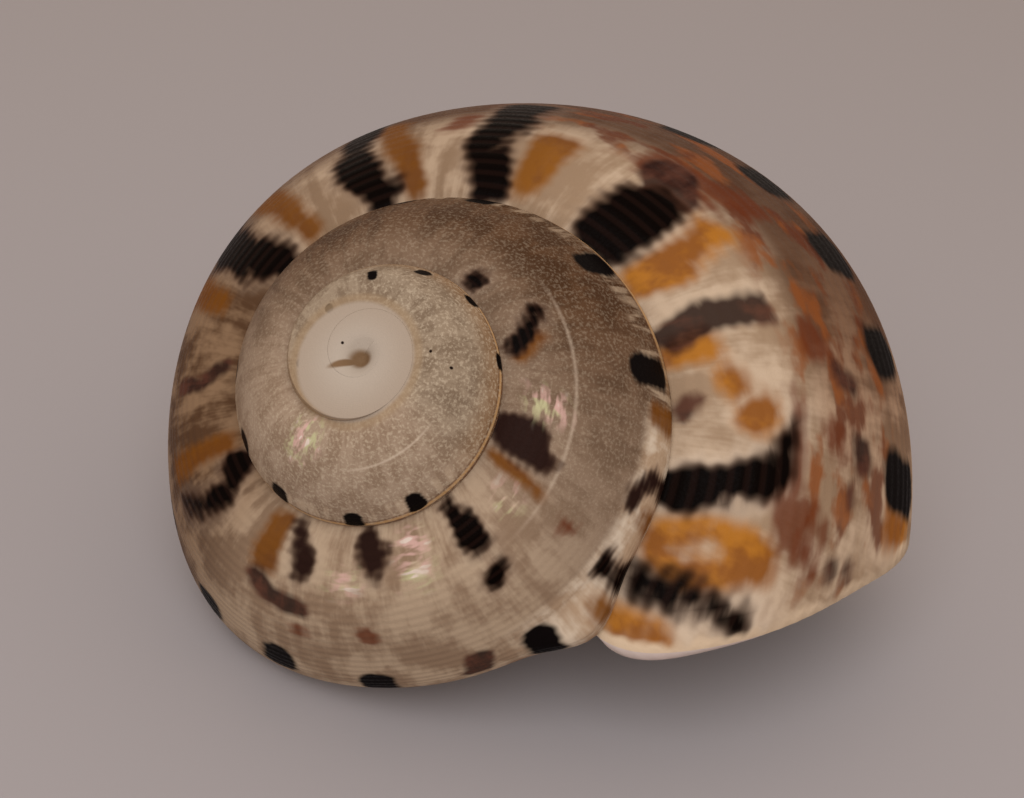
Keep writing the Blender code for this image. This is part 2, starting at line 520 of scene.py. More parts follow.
ORANGE_BARS = (
    (-0.786, 0.030, -0.791, 0.165, 0.115),
    (-0.689, 0.030, -0.686, 0.245, 0.09),
    (-0.570, 0.107, -0.568, 0.400, 0.10),
    (-0.487, 0.035, -0.496, 0.150, 0.09),
    (-0.496, 0.140, -0.505, 0.300, 0.09),
    (-0.402, 0.030, -0.414, 0.140, 0.085),
    (-0.414, 0.130, -0.430, 0.300, 0.085),
    (-0.327, 0.046, -0.327, 0.170, 0.12),
    (-0.226, 0.010, -0.225, 0.100, 0.12),
    (-0.228, 0.090, -0.236, 0.185, 0.11),
    (-0.173, 0.000, -0.175, 0.075, 0.085),
    (-0.160, 0.085, -0.148, 0.096, 0.07),
    (-0.142, 0.125, -0.136, 0.140, 0.12),
    (-0.078, 0.120, -0.076, 0.180, 0.10),
    (-0.010, 0.000, -0.026, 0.085, 0.075),
    (-1.013, 0.510, -1.012, 0.600, 0.06),
    (-1.068, 0.500, -1.066, 0.600, 0.07),
    (-1.130, 0.440, -1.128, 0.600, 0.07),
    (-1.043, 0.020, -1.040, 0.180, 0.06),
    (-1.150, 0.050, -1.178, 0.120, 0.05),
    (-0.114, 0.450, -0.113, 0.530, 0.08),
)
ORANGE_RING = (-0.057, 0.036, -0.075, 0.110, 0.115)
RING_LINE = 0.07
# Where worn-through mother-of-pearl gets painted glints: painted highlights and painted sheen
PAINTED_GLINT_PLACES = (
    (-0.924, 0.050, -0.924, 0.150, 0.15),
    (-0.857, 0.120, -0.857, 0.150, 0.15),
    (-1.798, 0.040, -1.798, 0.180, 0.30),
    (-1.108, 0.080, -1.108, 0.150, 0.14),
    (-1.020, 0.100, -1.018, 0.140, 0.12),
)
# The row of dashes round the widest part: (turn, t, half length across)
DASHES = (
    (-2.670, 0.250, 0.035),
    (-2.500, 0.140, 0.025),
    (-2.380, 0.250, 0.030),
    (-2.310, 0.410, 0.040),
    (-2.235, 0.530, 0.050),
    (-2.145, 0.570, 0.045),
    (-1.942, 0.490, 0.070),
    (-1.867, 0.515, 0.065),
    (-1.774, 0.500, 0.075),
    (-1.705, 0.500, 0.090),
    (-1.630, 0.500, 0.090),
    (-1.560, 0.500, 0.090),
    (-1.480, 0.500, 0.090),
    (-1.402, 0.500, 0.090),
    (-1.342, 0.500, 0.090),
    (-1.240, 0.450, 0.080),
    (-1.156, 0.455, 0.080),
    (-0.974, 0.545, 0.065),
    (-0.870, 0.545, 0.065),
    (-0.806, 0.480, 0.060),
    (-0.750, 0.490, 0.055),
    (-0.694, 0.500, 0.055),
    (-0.638, 0.500, 0.055),
    (-0.582, 0.500, 0.055),
    (-0.300, 0.480, 0.055),
    (-0.262, 0.475, 0.055),
    (-0.222, 0.455, 0.050),
    (-0.180, 0.485, 0.050),
    (-0.130, 0.500, 0.057),
    (-0.075, 0.520, 0.055),
)
DASH_HALF_WIDTH = 0.125

# How round a bar's corners are, as a share of its half width
BAR_CORNERS = 0.6
DASH_CORNERS = 0.95
BAR_END = 0.35  # how far a bar reaches past its ends, in half widths
FAR_AWAY = 9.0


def bar_group():
    """Distance in joint radii from a bar with rounded corners: under 0 inside it."""
    inputs = ["X", "Y", "Middle X", "Middle Y", "Run", "Rise", "Half length", "Half width", "Corner"]

    def build(graph, given):
        x = given["X"] - given["Middle X"]
        y = given["Y"] - given["Middle Y"]
        down = graph.maths("ABSOLUTE", x * given["Run"] + y * given["Rise"]) - given["Half length"]
        aside = graph.maths("ABSOLUTE", y * given["Run"] - x * given["Rise"]) - given["Half width"]
        outside = hypot(most(down, 0.0), most(aside, 0.0))
        return [outside + least(most(down, aside), 0.0) - given["Corner"]]

    return function_group("bar", inputs, ["Distance"], build)


def bar_sizes(given_bar, roundness):
    """What a bar's group is given for a bar from (turn, t) to (turn, t)."""
    turn_a, t_a, turn_b, t_b, half_width = given_bar
    run, rise = (turn_b - turn_a) * ALONG, (t_b - t_a) * ACROSS
    length = math.hypot(run, rise)
    corner = roundness * half_width
    return {
        "Middle X": (turn_a + turn_b) / 2 * ALONG,
        "Middle Y": (t_a + t_b) / 2 * ACROSS,
        "Run": run / length,
        "Rise": rise / length,
        "Half length": max(length / 2 + BAR_END * half_width - corner, 0.0),
        "Half width": half_width - corner,
        "Corner": corner,
    }


def bars_group(name, bar, given_bars, ring=None, roundness=BAR_CORNERS):
    """Distance from the nearest of several bars, and from a line round one more."""

    def build(graph, given):
        total = FAR_AWAY
        for one in given_bars:
            total = least(graph.call(bar, {**given, **bar_sizes(one, roundness)}), total)
        if ring:
            away = graph.call(bar, {**given, **bar_sizes(ring, DASH_CORNERS)})
            total = least(graph.maths("ABSOLUTE", away) - RING_LINE, total)
        return [total]

    return function_group(name, ["X", "Y"], ["Distance"], build)


def dash_bars():
    return [(turn, t - half, turn, t + half, DASH_HALF_WIDTH) for turn, t, half in DASHES]


def marked(graph, mesh):
    """Keeps on the mesh how far each place is from the markings."""
    settings = {"data_type": "FLOAT_VECTOR"}
    growth = graph.node("GeometryNodeInputNamedAttribute", settings, {"Name": "growth"})
    turn, t = graph.parts(growth)[:2]
    spot = {"X": turn * ALONG, "Y": t * ACROSS}
    bar = bar_group()
    black = graph.call(bars_group("black bars", bar, BLACK_BARS), spot)
    orange = graph.call(bars_group("orange bars", bar, ORANGE_BARS, ORANGE_RING), spot)
    brown = graph.call(bars_group("brown bars", bar, BROWN_BARS), spot)
    red = graph.call(bars_group("red bars", bar, RED_BARS), spot)
    dashes = graph.call(bars_group("dashes", bar, dash_bars(), None, DASH_CORNERS), spot)
    # Places of the painted glints on the worn-through mother-of-pearl
    painted_glint = graph.call(bars_group("painted_glints", bar, PAINTED_GLINT_PLACES), spot)
    mesh = named(graph, mesh, "bars", "FLOAT_VECTOR", "CORNER", graph.vector(black, orange, brown))
    return named(graph, mesh, "spots", "FLOAT_VECTOR", "CORNER", graph.vector(dashes, red, painted_glint))


# ------------------------------------------------------------------ the shell's mesh, by geometry nodes


def grid(graph, columns, rows):
    """A flat grid of columns and rows of faces, with each point's column and row number."""
    mesh = graph.node("GeometryNodeMeshGrid", None, {"Vertices X": columns + 1, "Vertices Y": rows + 1})
    mesh = mesh.output("Mesh")
    x, y = graph.parts(graph.node("GeometryNodeInputPosition"))[:2]
    column = graph.maths("ROUND", (x + 0.5) * columns)
    row = graph.maths("ROUND", (y + 0.5) * rows)
    return mesh, column, row


def named(graph, mesh, name, kind, domain, value):
    settings = {"data_type": kind, "domain": domain}
    sockets = {"Geometry": mesh, "Name": name, "Value": value}
    return graph.node("GeometryNodeStoreNamedAttribute", settings, sockets)


def sheet(graph, mesh, position, growth, cords, inside, flipped=False):
    """One sheet of the shell: its points are placed, and what the materials need is kept on it."""
    mesh = named(graph, mesh, "growth", "FLOAT_VECTOR", "CORNER", growth)
    mesh = named(graph, mesh, "cords", "FLOAT", "POINT", cords)
    mesh = named(graph, mesh, "inside", "FLOAT", "POINT", inside)
    mesh = graph.node("GeometryNodeSetPosition", None, {"Geometry": mesh, "Position": position})
    return graph.node("GeometryNodeFlipFaces", None, {"Mesh": mesh}) if flipped else mesh


def cord_relief(sizes, s, t):
    """Height of the fine cords that run along the whorl, which fade at the joints and on the old whorls."""
    wave = cosine(t * (TURN * sizes["Cords"])) * 0.5
    grown = ease((s + TURN * CORDS_FROM) / TURN)
    begun = ease((s + TURN) / 0.3)
    joint = ease(t / 0.03) * most(ease((JOINT_AT - t) / 0.04), begun)
    navel = ease((NAVEL_AT - t) / 0.08)
    return wave * grown * joint * navel * sizes["Cord height"]


def upper_sheet(graph, sizes, coil):
    """Spire and the last whorl, from joint to joint."""
    mesh, column, row = grid(graph, SPIRE_STEPS + STEPS, UPPER_ROWS)
    t = row * (JOINT_AT / UPPER_ROWS)
    spire = least(column, float(SPIRE_STEPS)) * (TURN / STEPS) + FIRST_TURN * TURN
    last = most(column - float(SPIRE_STEPS), 0.0) / float(STEPS)
    s = spire + (lip(t) + TURN) * last
    radius, height = coil.at(s, t)
    # The innermost turn closes on one point.
    first_column = 1.0 - over(column, 0.5)
    inner_row = (1.0 - over(row, 0.5)) * (1.0 - over(column, STEPS + 0.5))
    closed = most(first_column, inner_row)
    radius = radius * (1.0 - closed)
    height = between(height, APEX_HEIGHT, closed)
    growth = graph.vector(s / TURN, t, 0.0)
    return sheet(graph, mesh, place(s, radius, height), growth, cord_relief(sizes, s, t), 0.0)


def base_sheet(graph, sizes, coil):
    """The base of the last whorl, from the joint to the axis."""
    mesh, column, row = grid(graph, STEPS, LOWER_ROWS)
    t = row * ((1 - JOINT_AT) / LOWER_ROWS) + JOINT_AT
    start = throat(t)
    s = between(start, lip(t), column / float(STEPS))
    radius, height = coil.outside(s, t)
    growth = graph.vector(s / TURN, t, 0.0)
    return sheet(graph, mesh, place(s, radius, height), growth, cord_relief(sizes, s, t), 0.0)


def hollow_sheet(graph, sizes, coil):
    """The rim of the mouth and the hollow behind it, in rings: outer wall, pillar, whorl before."""
    around = UPPER_ROWS + 2 * LOWER_ROWS
    mesh, column, row = grid(graph, around, RIM_ROWS + HOLLOW_ROWS)
    column = column * (1.0 - over(column, around - 0.5))  # the last column closes on the first
    upper = least(column, float(UPPER_ROWS)) * (JOINT_AT / UPPER_ROWS)
    lower = most(column - float(UPPER_ROWS), 0.0) * ((1 - JOINT_AT) / LOWER_ROWS)
    along = upper + lower
    returning = over(along, 1.0 + HAIR)
    t = between(along, 2.0 - along, returning)
    rim = clip(row / float(RIM_ROWS))
    deep = most(row - float(RIM_ROWS), 0.0) / float(HOLLOW_ROWS)
    back = rim * rim * RIM_BEVEL + deep * (HOLLOW_TURNS * TURN)
    share = graph.maths("SQRT", rim)
    s_wall = lip(t) - back
    s_held = throat(t) - back
    s = between(s_wall, s_held, returning)
    lining = sizes["Lining"] * sizes["Radial growth"] * -1.0
    edge = coil.outside(s, t)
    wall = coil.inset(s_wall, wall_place(t), sizes["Wall"])
    held = coil.inset(s_held, t, lining)
    # The pillar joins the ends of both, on a curve drawn in towards the axis.
    wall_end = coil.inset(lip(NAVEL_AT) - back, wall_place(NAVEL_AT), sizes["Wall"])
    held_end = coil.inset(throat(NAVEL_AT) - back, NAVEL_AT, lining)
    pull = sizes["Pillar"] * sizes["Radial growth"] ** (back * (-1 / TURN))
    low = (pull, between(wall_end[1], held_end[1], PILLAR_LOW))
    high = (pull, between(wall_end[1], held_end[1], PILLAR_HIGH))
    pillar = bezier((wall_end, low, high, held_end), clip((along - NAVEL_AT) / (2 - 2 * NAVEL_AT)))
    in_pillar = over(t, NAVEL_AT)
    open_side = [between(w, h, returning) for w, h in zip(wall, held)]
    inner = [between(o, p, in_pillar) for o, p in zip(open_side, pillar)]
    # The deepest ring closes on one point.
    last = over(row, RIM_ROWS + HOLLOW_ROWS - 0.5)
    end_s = lip(HOLLOW_END) - RIM_BEVEL - HOLLOW_TURNS * TURN
    middle = [between(w, h, 0.5) for w, h in zip(wall_end, held_end)]
    radius = between(between(edge[0], inner[0], share), middle[0] * HOLLOW_END_PULL, last)
    height = between(between(edge[1], inner[1], share), middle[1], last)
    s_pillar = between(s_wall, s_held + TURN, returning)
    turned = between(s, s_pillar, in_pillar)
    turned = between(turned, end_s, last)
    growth = graph.vector(turned / TURN, t, 1.0)
    return sheet(graph, mesh, place(turned, radius, height), growth, 0.0, rim, True)


def worn_tip(graph, sizes, mesh):
    """The tip worn nearly flat above one level, with a pit in its middle."""
    x, y, height = graph.parts(graph.node("GeometryNodeInputPosition"))
    away = hypot(x - PIT_PLACE[0], y - PIT_PLACE[1]) / sizes["Pit radius"]
    pit = exp(away * away * -1.0) * sizes["Pit depth"]
    low = sizes["Tip level"] + sizes["Tip slope"] * (height - sizes["Tip level"]) - pit
    worn = between(height, low, over(height, sizes["Tip level"]))
    moved = graph.vector(x, y, worn)
    return graph.node("GeometryNodeSetPosition", None, {"Geometry": mesh, "Position": moved})


def lying(graph, mesh, joint_radius, tip_place):
    """The shell turned to how it lies, with its lowest points worn flat on the floor."""
    up = UP.normalized()
    right = up.cross(FACING).normalized()
    position = graph.node("GeometryNodeInputPosition")
    turned = [graph.maths("DOT_PRODUCT", position, tuple(axis)) for axis in (right, up.cross(right), up)]
    moved = graph.vector(*turned) * graph.vector(joint_radius, joint_radius, joint_radius) + tip_place
    x, y, height = graph.parts(moved)
    moved = graph.vector(x, y, most(height, 0.0))
    return graph.node("GeometryNodeSetPosition", None, {"Geometry": mesh, "Position": moved})


def shell_tree(material):
    """The geometry node tree that makes the shell from its sizes."""
    tree = bpy.data.node_groups.new("coiled shell", "GeometryNodeTree")
    graph = Graph(tree)
    tree.interface.new_socket("Shell", in_out="OUTPUT", socket_type="NodeSocketGeometry")
    for name, size in {"Joint radius": JOINT_RADIUS, **SIZES}.items():
        socket = tree.interface.new_socket(name, in_out="INPUT", socket_type="NodeSocketFloat")
        socket.default_value = size
    tree.interface.new_socket("Tip place", in_out="INPUT", socket_type="NodeSocketVector")
    given = graph.node("NodeGroupInput")
    sizes = {name: given.output(name) for name in SIZES}
    whorl = whorl_group()
    coil = Coil(graph, sizes, whorl, inset_group(whorl))
    sheets = [make(graph, sizes, coil) for make in (upper_sheet, base_sheet, hollow_sheet)]
    join = tree.nodes.new("GeometryNodeJoinGeometry")
    for one in reversed(sheets):
        tree.links.new(one.socket, join.inputs[0])
    mesh = Value(graph, join.outputs[0])
    mesh = graph.node("GeometryNodeMergeByDistance", None, {"Geometry": mesh, "Distance": MERGE})
    mesh = named(graph, mesh, "place", "FLOAT_VECTOR", "POINT", graph.node("GeometryNodeInputPosition"))
    mesh = marked(graph, mesh)
    mesh = worn_tip(graph, sizes, mesh)
    relief = graph.node("GeometryNodeInputNamedAttribute", {"data_type": "FLOAT"}, {"Name": "cords"})
    relief = graph.node("GeometryNodeInputNormal") * relief
    mesh = graph.node("GeometryNodeSetPosition", None, {"Geometry": mesh, "Offset": relief})
    mesh = lying(graph, mesh, given.output("Joint radius"), given.output("Tip place"))
    mesh = graph.node("GeometryNodeSetShadeSmooth", None, {"Geometry": mesh})
    mesh = graph.node("GeometryNodeRealizeInstances", None, {"Geometry": mesh})
    mesh = graph.node("GeometryNodeSetMaterial", None, {"Geometry": mesh, "Material": material})
    graph.node("NodeGroupOutput", None, {0: mesh})
    return tree


def make_shell():
    """The shell as a plain mesh, made by its tree from the sizes and the frame's box."""
    material = shell_material()
    tree = shell_tree(material)
    base = bpy.data.meshes.new("shell base")
    maker = bpy.data.objects.new("shell maker", base)
    bpy.context.scene.collection.objects.link(maker)
    modifier = maker.modifiers.new("coiled shell", "NODES")
    modifier.node_group = tree
    low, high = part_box("shell")
    middle = Vector(((low.x + high.x) / 2, (low.y + high.y) / 2, low.z))
    inputs = {"Joint radius": JOINT_RADIUS, **SIZES, "Tip place": middle + TIP_PLACE}
    for item in tree.interface.items_tree:
        if item.in_out == "INPUT":
            modifier[item.identifier] = inputs[item.name]
    depsgraph = bpy.context.evaluated_depsgraph_get()
    made = maker.evaluated_get(depsgraph)
    mesh = bpy.data.meshes.new_from_object(made, preserve_all_data_layers=True, depsgraph=depsgraph)
    mesh.name = "top_shell"
    bpy.data.objects.remove(maker)
    shell = bpy.data.objects.new("top_shell", mesh)
    bpy.context.scene.collection.objects.link(shell)
    return shell


# ------------------------------------------------------------------ colours


def srgb(red, green, blue):
    """A colour as it is seen on a screen, from 0 to 255, turned to the light it stands for."""
    light = [c / 255 / 12.92 if c < 10.3 else ((c / 255 + 0.055) / 1.055) ** 2.4 for c in (red, green, blue)]
    return (*light, 1.0)


# The last whorl's grounds; a pair is (dark, light)
PEARLY = (srgb(137, 115, 95), srgb(171, 151, 129))
DIM = (srgb(80, 57, 40), srgb(128, 103, 80))
CREAM = (srgb(152, 129, 106), srgb(188, 168, 146))
FLANK_BROWN = (srgb(88, 56, 38), srgb(146, 110, 84))
# The flank's deepest brown is partly its own colour and partly painted shade where the shell turns from the
# light
DEEP_FLANK_BROWN_AND_SHADE = srgb(70, 44, 29)
BASE_BEIGE = (srgb(148, 122, 99), srgb(184, 162, 138))
LIP_EDGE = srgb(206, 184, 158)
INSIDE = (srgb(186, 176, 168), srgb(206, 186, 182))

# The old whorls' grounds
WORN = (srgb(136, 115, 96), srgb(166, 147, 128))
DARK_SIDE_BROWN = (srgb(66, 44, 28), srgb(94, 68, 48))
WHITE_BY_LIP = (srgb(170, 146, 122), srgb(206, 192, 174))
PALE_STREAK = srgb(196, 176, 152)
SCRATCH = srgb(206, 190, 172)
SPIRE = (srgb(118, 101, 84), srgb(154, 138, 119))
AMBER = srgb(140, 104, 68)
THREAD_SIDES = srgb(92, 60, 38)
THREAD = srgb(188, 152, 108)
PALE_GRAIN = srgb(204, 190, 168)
DISC = (srgb(173, 162, 150), srgb(162, 148, 134))
DISC_RING = srgb(152, 130, 104)
PIT = srgb(112, 84, 54)
# Painted shade inside the tiny holes, which the mesh does not have
PINHOLE_SHADE = srgb(24, 14, 10)

# Marks
BLACK = (srgb(21, 10, 7), srgb(7, 3, 2))
FADED_BLACK = srgb(42, 26, 22)
BLACK_EDGE = srgb(62, 36, 24)
HALO = srgb(206, 190, 172)
DASH_BLACK = srgb(12, 8, 8)
BROWN = (srgb(82, 50, 40), srgb(38, 20, 18))
RED = srgb(94, 44, 22)
RUST = (srgb(128, 72, 34), srgb(90, 44, 24))
ORANGE = (srgb(166, 107, 32), srgb(130, 76, 20))
OLD_ORANGE = srgb(94, 54, 16)
# Painted sheen (pink, green) and painted highlights (white) on the worn-through mother-of-pearl
PINK_PAINTED_SHEEN = srgb(202, 166, 158)
GREEN_PAINTED_SHEEN = srgb(184, 182, 142)
WHITE_PAINTED_GLINT = srgb(220, 206, 196)

# Where a ground comes in or goes out, as turns; the low end comes first
DIM_COMES = (-0.80, -0.70)
CREAM_COMES = (-0.57, -0.46)
CREAM_FILLS = (-0.42, -0.24)
FLANK_COMES = (-0.60, -0.42)
FLANK_GOES = (-0.20, -0.08)
FLANK_LIGHTENS = (-0.24, -0.12)
WORN_GOES = (-1.06, -0.97)
DARK_SIDE_TURNS = (-1.60, -1.08)
STREAKS_COME = (-2.1, -1.95)
STREAKS_STRENGTHEN = (-1.16, -1.08)
WHITE_COMES = (-1.135, -1.115)
SPIRE_GOES = (-2.06, -1.98)
THREAD_GOES = (-1.2, -1.13)
GRAIN_GOES = (-1.1, -0.98)
COARSE_GRAIN = (-2.40, -1.72)
FLECK_TURNS = (-0.36, -0.07)
HALO_COMES = (-0.28, -0.12)
ORANGE_BRIGHTENS = (-0.38, -0.22)
FADED_TURNS = ((-0.91, -0.78, 0.02), (-1.12, -1.04, 0.01))
FINE_SPARKS_COME = (-1.5, -1.3)
CORDS_COME = (-1.1, -0.9)

# The same across the whorl, as t
FLANK_ACROSS = (0.17, 0.30)
BASE_ACROSS = (0.54, 0.64)
DARK_SIDE_ACROSS = (0.0, 0.26)
STREAKS_ACROSS = (0.40, 0.44)
WHITE_ACROSS = (0.39, 0.45)
LATER_ACROSS = (0.38, 0.44)
AMBER_ACROSS = (0.32, 0.50)
THREAD_SIDES_ACROSS = (0.525, 0.625, 0.01)
THREAD_ACROSS = (0.545, 0.590, 0.01)
FLECKS_ACROSS = (0.20, 0.47, 0.03)
BASE_FLECKS_COME = (0.58, 0.64)
BASE_FLECKS_GO = (0.80, 0.92)
# Scratches: (t, t, softness), (turn, turn, softness), strength
SCRATCHES = (
    ((0.212, 0.220, 0.006), (-2.02, -1.88, 0.03), 0.6),
    ((0.190, 0.197, 0.006), (-1.21, -1.0, 0.04), 0.36),
)

# How finely the noises run (along the turns, across the whorl)
STREAK_NOISE = (90.0, 3.0)
FLECK_NOISE = (38.0, 18.0)
SHEEN_HUE_NOISE = (40.0, 8.0)
EARLY_SPARKS = (62.0, 12.0)
LATE_SPARKS = (34.0, 34.0)
GROWTH_LINES = (260.0, 5.0)
GRAIN_SCALE = 90.0
CLOUD_SCALE = 2.2
WAVE_SCALE = 3.6

# The worn tip, in joint radii
TIP_HEIGHTS = (-1.2, -0.8)
DISC_MIDDLE = (-0.015, -0.030)
DISC_EDGE = (0.19, 0.21)
RING_RISES = (0.19, 0.205)
RING_FALLS = (0.215, 0.24)
PIT_EDGE = (0.024, 0.05)
PIT_STRETCH = 1.25
SLIT_MIDDLE = (-0.052, -0.032)
SLIT_RUN = (0.96, 0.28)
SLIT_HALF_LENGTH = 0.06
SLIT_HALF_WIDTH = 0.014
PINHOLES = ((-0.063, 0.032), (0.240, -0.012), (0.303, -0.062))  # tiny dark holes in the old whorls
PINHOLE_EDGE = (0.0035, 0.0065)


# ------------------------------------------------------------------ materials


class Pattern:
    """Where a place is on the shell, and how far it is from each kind of marking."""

    def __init__(self, graph):
        self.graph = graph
        self.turn, self.across, self.inside = graph.parts(self.kept("growth"))
        self.place = self.kept("place")
        self.flat = graph.vector(self.turn * ALONG, self.across * ACROSS)
        self.black, self.orange, self.brown = graph.parts(self.kept("bars"))
        self.dash, self.red, self.painted_glint = graph.parts(self.kept("spots"))
        waves = graph.noise(self.flat, WAVE_SCALE, 2.0, 0.5) - 0.5
        scallop = sine(self.across * (TURN * SIZES["Cords"]) + waves * 5.0)
        self.wobble = waves * 0.20 + scallop * 0.008
        self.cords = cosine(self.across * (TURN * SIZES["Cords"]))
        self.streaks = graph.noise(self.stretched(*STREAK_NOISE), 1.0, 3.0, 0.6)
        self.clouds = graph.noise(self.flat, CLOUD_SCALE, 4.0, 0.6)
        self.grain = graph.noise(self.place, GRAIN_SCALE, 2.0, 0.6, True)
        self.mottle = graph.ramp(self.clouds * 0.7 + self.streaks * 0.3, 0.40, 0.60)
        self.haze = self.mottle * 0.6 + self.streaks * 0.2

    def kept(self, name):
        return self.graph.node("ShaderNodeAttribute", {"attribute_name": name}, None, "Vector")

    def stretched(self, along, around):
        """A place on the unrolled shell, to give noise its own fineness each way."""
        return self.graph.vector(self.turn * along, self.across * around)

    def within(self, distance, soft, grown=0.0, waver=1.0):
        """1 inside a marking, 0 outside, with a wavering edge."""
        return self.graph.ramp(distance + self.wobble * waver, grown + soft, grown - soft)

    def comes(self, turns, bottom=0.0, top=1.0):
        """Rises from bottom to top between two turns."""
        return self.graph.ramp(self.turn, *turns, bottom, top)

    def goes(self, turns, bottom=0.0, top=1.0):
        """Falls from top to bottom between two turns."""
        return self.graph.ramp(self.turn, *turns, top, bottom)

    def over_t(self, places, bottom=0.0, top=1.0):
        """Rises from bottom to top between two places across the whorl."""
        return self.graph.ramp(self.across, *places, bottom, top)

    def band(self, x, low, high, soft):
        """1 between low and high, easing off on both sides."""
        return self.graph.ramp(x, low - soft, low + soft) * self.graph.ramp(x, high + soft, high - soft)

    def shade(self, pair):
        """A ground's own mottle of its dark and its light colour."""
        return self.graph.mix(*pair, self.mottle)

    def hazy_shade(self, pair):
        """The softer mottle of a worn ground."""
        return self.graph.mix(*pair, self.haze)


def last_whorl_colour(graph, pattern):
    """Pearly, then dim, then cream towards the lip, with a brown flank that is partly painted shade at its
    deepest, and a beige base.
    """
    colour = graph.mix(pattern.shade(PEARLY), pattern.shade(DIM), pattern.comes(DIM_COMES))
    cream = pattern.comes(CREAM_COMES, 0.0, 0.65) + pattern.comes(CREAM_FILLS, 0.0, 0.35)
    colour = graph.mix(colour, pattern.shade(CREAM), cream)
    flank = pattern.over_t(FLANK_ACROSS) * pattern.comes(FLANK_COMES) * pattern.goes(FLANK_GOES, 0.1, 0.95)
    # Deepest brown at the flank's older end: the shell's brown with painted shade in it
    brown = graph.mix(DEEP_FLANK_BROWN_AND_SHADE, pattern.shade(FLANK_BROWN), pattern.comes(FLANK_LIGHTENS, 0.1))
    colour = graph.mix(colour, brown, flank)
    return graph.mix(colour, pattern.shade(BASE_BEIGE), pattern.over_t(BASE_ACROSS))


def worn_whorl_colour(graph, pattern):
    """The whorl before: dull, darker brown on one side, with a pale streaky row and two scratches."""
    # Darker brown over one part of the whorl's turn
    dark_side = pattern.band(pattern.turn, *DARK_SIDE_TURNS, 0.14) * pattern.over_t(DARK_SIDE_ACROSS, 0.6)
    colour = graph.mix(pattern.hazy_shade(WORN), pattern.hazy_shade(DARK_SIDE_BROWN), dark_side)
    row = pattern.over_t(STREAKS_ACROSS) * pattern.comes(STREAKS_COME)
    row = row * graph.ramp(pattern.streaks, 0.44, 0.62) * pattern.comes(STREAKS_STRENGTHEN, 0.4)
    colour = graph.mix(colour, PALE_STREAK, row)
    by_lip = pattern.over_t(WHITE_ACROSS) * pattern.comes(WHITE_COMES)
    colour = graph.mix(colour, pattern.shade(WHITE_BY_LIP), by_lip)
    for across, turns, strength in SCRATCHES:
        scratch = pattern.band(pattern.across, *across) * pattern.band(pattern.turn, *turns)
        colour = graph.mix(colour, SCRATCH, scratch * strength)
    return colour


def spire_colour(graph, pattern):
    """The oldest whorls, which turn amber towards their joints."""
    return graph.mix(pattern.hazy_shade(SPIRE), AMBER, pattern.over_t(AMBER_ACROSS, 0.0, 0.5))


def ground_colour(graph, pattern):
    """The shell's own colour under its markings, by whorl."""
    later = pattern.over_t(LATER_ACROSS, 0.0, 0.035)
    grown = graph.ramp(pattern.turn - later, *WORN_GOES)
    colour = graph.mix(worn_whorl_colour(graph, pattern), last_whorl_colour(graph, pattern), grown)
    colour = graph.mix(spire_colour(graph, pattern), colour, pattern.comes(SPIRE_GOES))
    # A golden thread between brown lines runs along the joint of the old whorls.
    old = pattern.goes(THREAD_GOES)
    sides = pattern.band(pattern.across, *THREAD_SIDES_ACROSS) * old
    thread = pattern.band(pattern.across, *THREAD_ACROSS) * old
    colour = graph.mix(graph.mix(colour, THREAD_SIDES, sides * 0.6), THREAD, thread * 0.9)
    grain = graph.ramp(pattern.grain, 0.45, 0.70) * pattern.goes(GRAIN_GOES)
    coarse = pattern.band(pattern.turn, *COARSE_GRAIN, 0.08)
    return graph.mix(colour, PALE_GRAIN, grain * (coarse * 0.22 + 0.16))


def flecks(graph, pattern, colour):
    """Rusty flecks on the flank by the lip and on the base."""
    flank = pattern.band(pattern.turn, *FLECK_TURNS, 0.04) * pattern.band(pattern.across, *FLECKS_ACROSS)
    base = pattern.over_t(BASE_FLECKS_COME) * pattern.over_t(BASE_FLECKS_GO, 0.8, 0.0)
    spots = graph.ramp(graph.noise(pattern.stretched(*FLECK_NOISE), 1.0, 3.0, 0.5), 0.46, 0.66)
    rust = graph.mix(*RUST, graph.ramp(pattern.clouds, 0.42, 0.58))
    return graph.mix(colour, rust, spots * most(flank, base) * 0.85)


def coloured_bars(graph, pattern, colour):
    """The orange, red and brown bars, and the pale halo that the black ones will have."""
    halo = pattern.within(pattern.black, 0.08, 0.06) * pattern.comes(HALO_COMES, 0.1, 0.6)
    colour = graph.mix(colour, HALO, halo)
    orange = graph.mix(*ORANGE, graph.ramp(pattern.clouds, 0.42, 0.62))
    orange = graph.mix(OLD_ORANGE, orange, pattern.comes(ORANGE_BRIGHTENS, 0.15))
    colour = graph.mix(colour, orange, pattern.within(pattern.orange, 0.06, 0.01, 0.6) * 0.95)
    colour = graph.mix(colour, RED, pattern.within(pattern.red, 0.05) * 0.85)
    return graph.mix(colour, pattern.shade(BROWN), pattern.within(pattern.brown, 0.035, 0.01, 0.5) * 0.94)


def black_bars(graph, pattern, colour):
    """The black bars with their brown edges, and the dashes."""
    colour = graph.mix(colour, BLACK_EDGE, pattern.within(pattern.black, 0.05, 0.015) * 0.8)
    black = graph.mix(*BLACK, graph.ramp(pattern.cords, -1.0, 0.4))
    faded = sum(pattern.band(pattern.turn, *turns) for turns in FADED_TURNS)
    black = graph.mix(black, FADED_BLACK, faded * 0.8)
    colour = graph.mix(colour, black, pattern.within(pattern.black, 0.045, -0.015))
    return graph.mix(colour, DASH_BLACK, pattern.within(pattern.dash, 0.03, 0.0, 0.5))


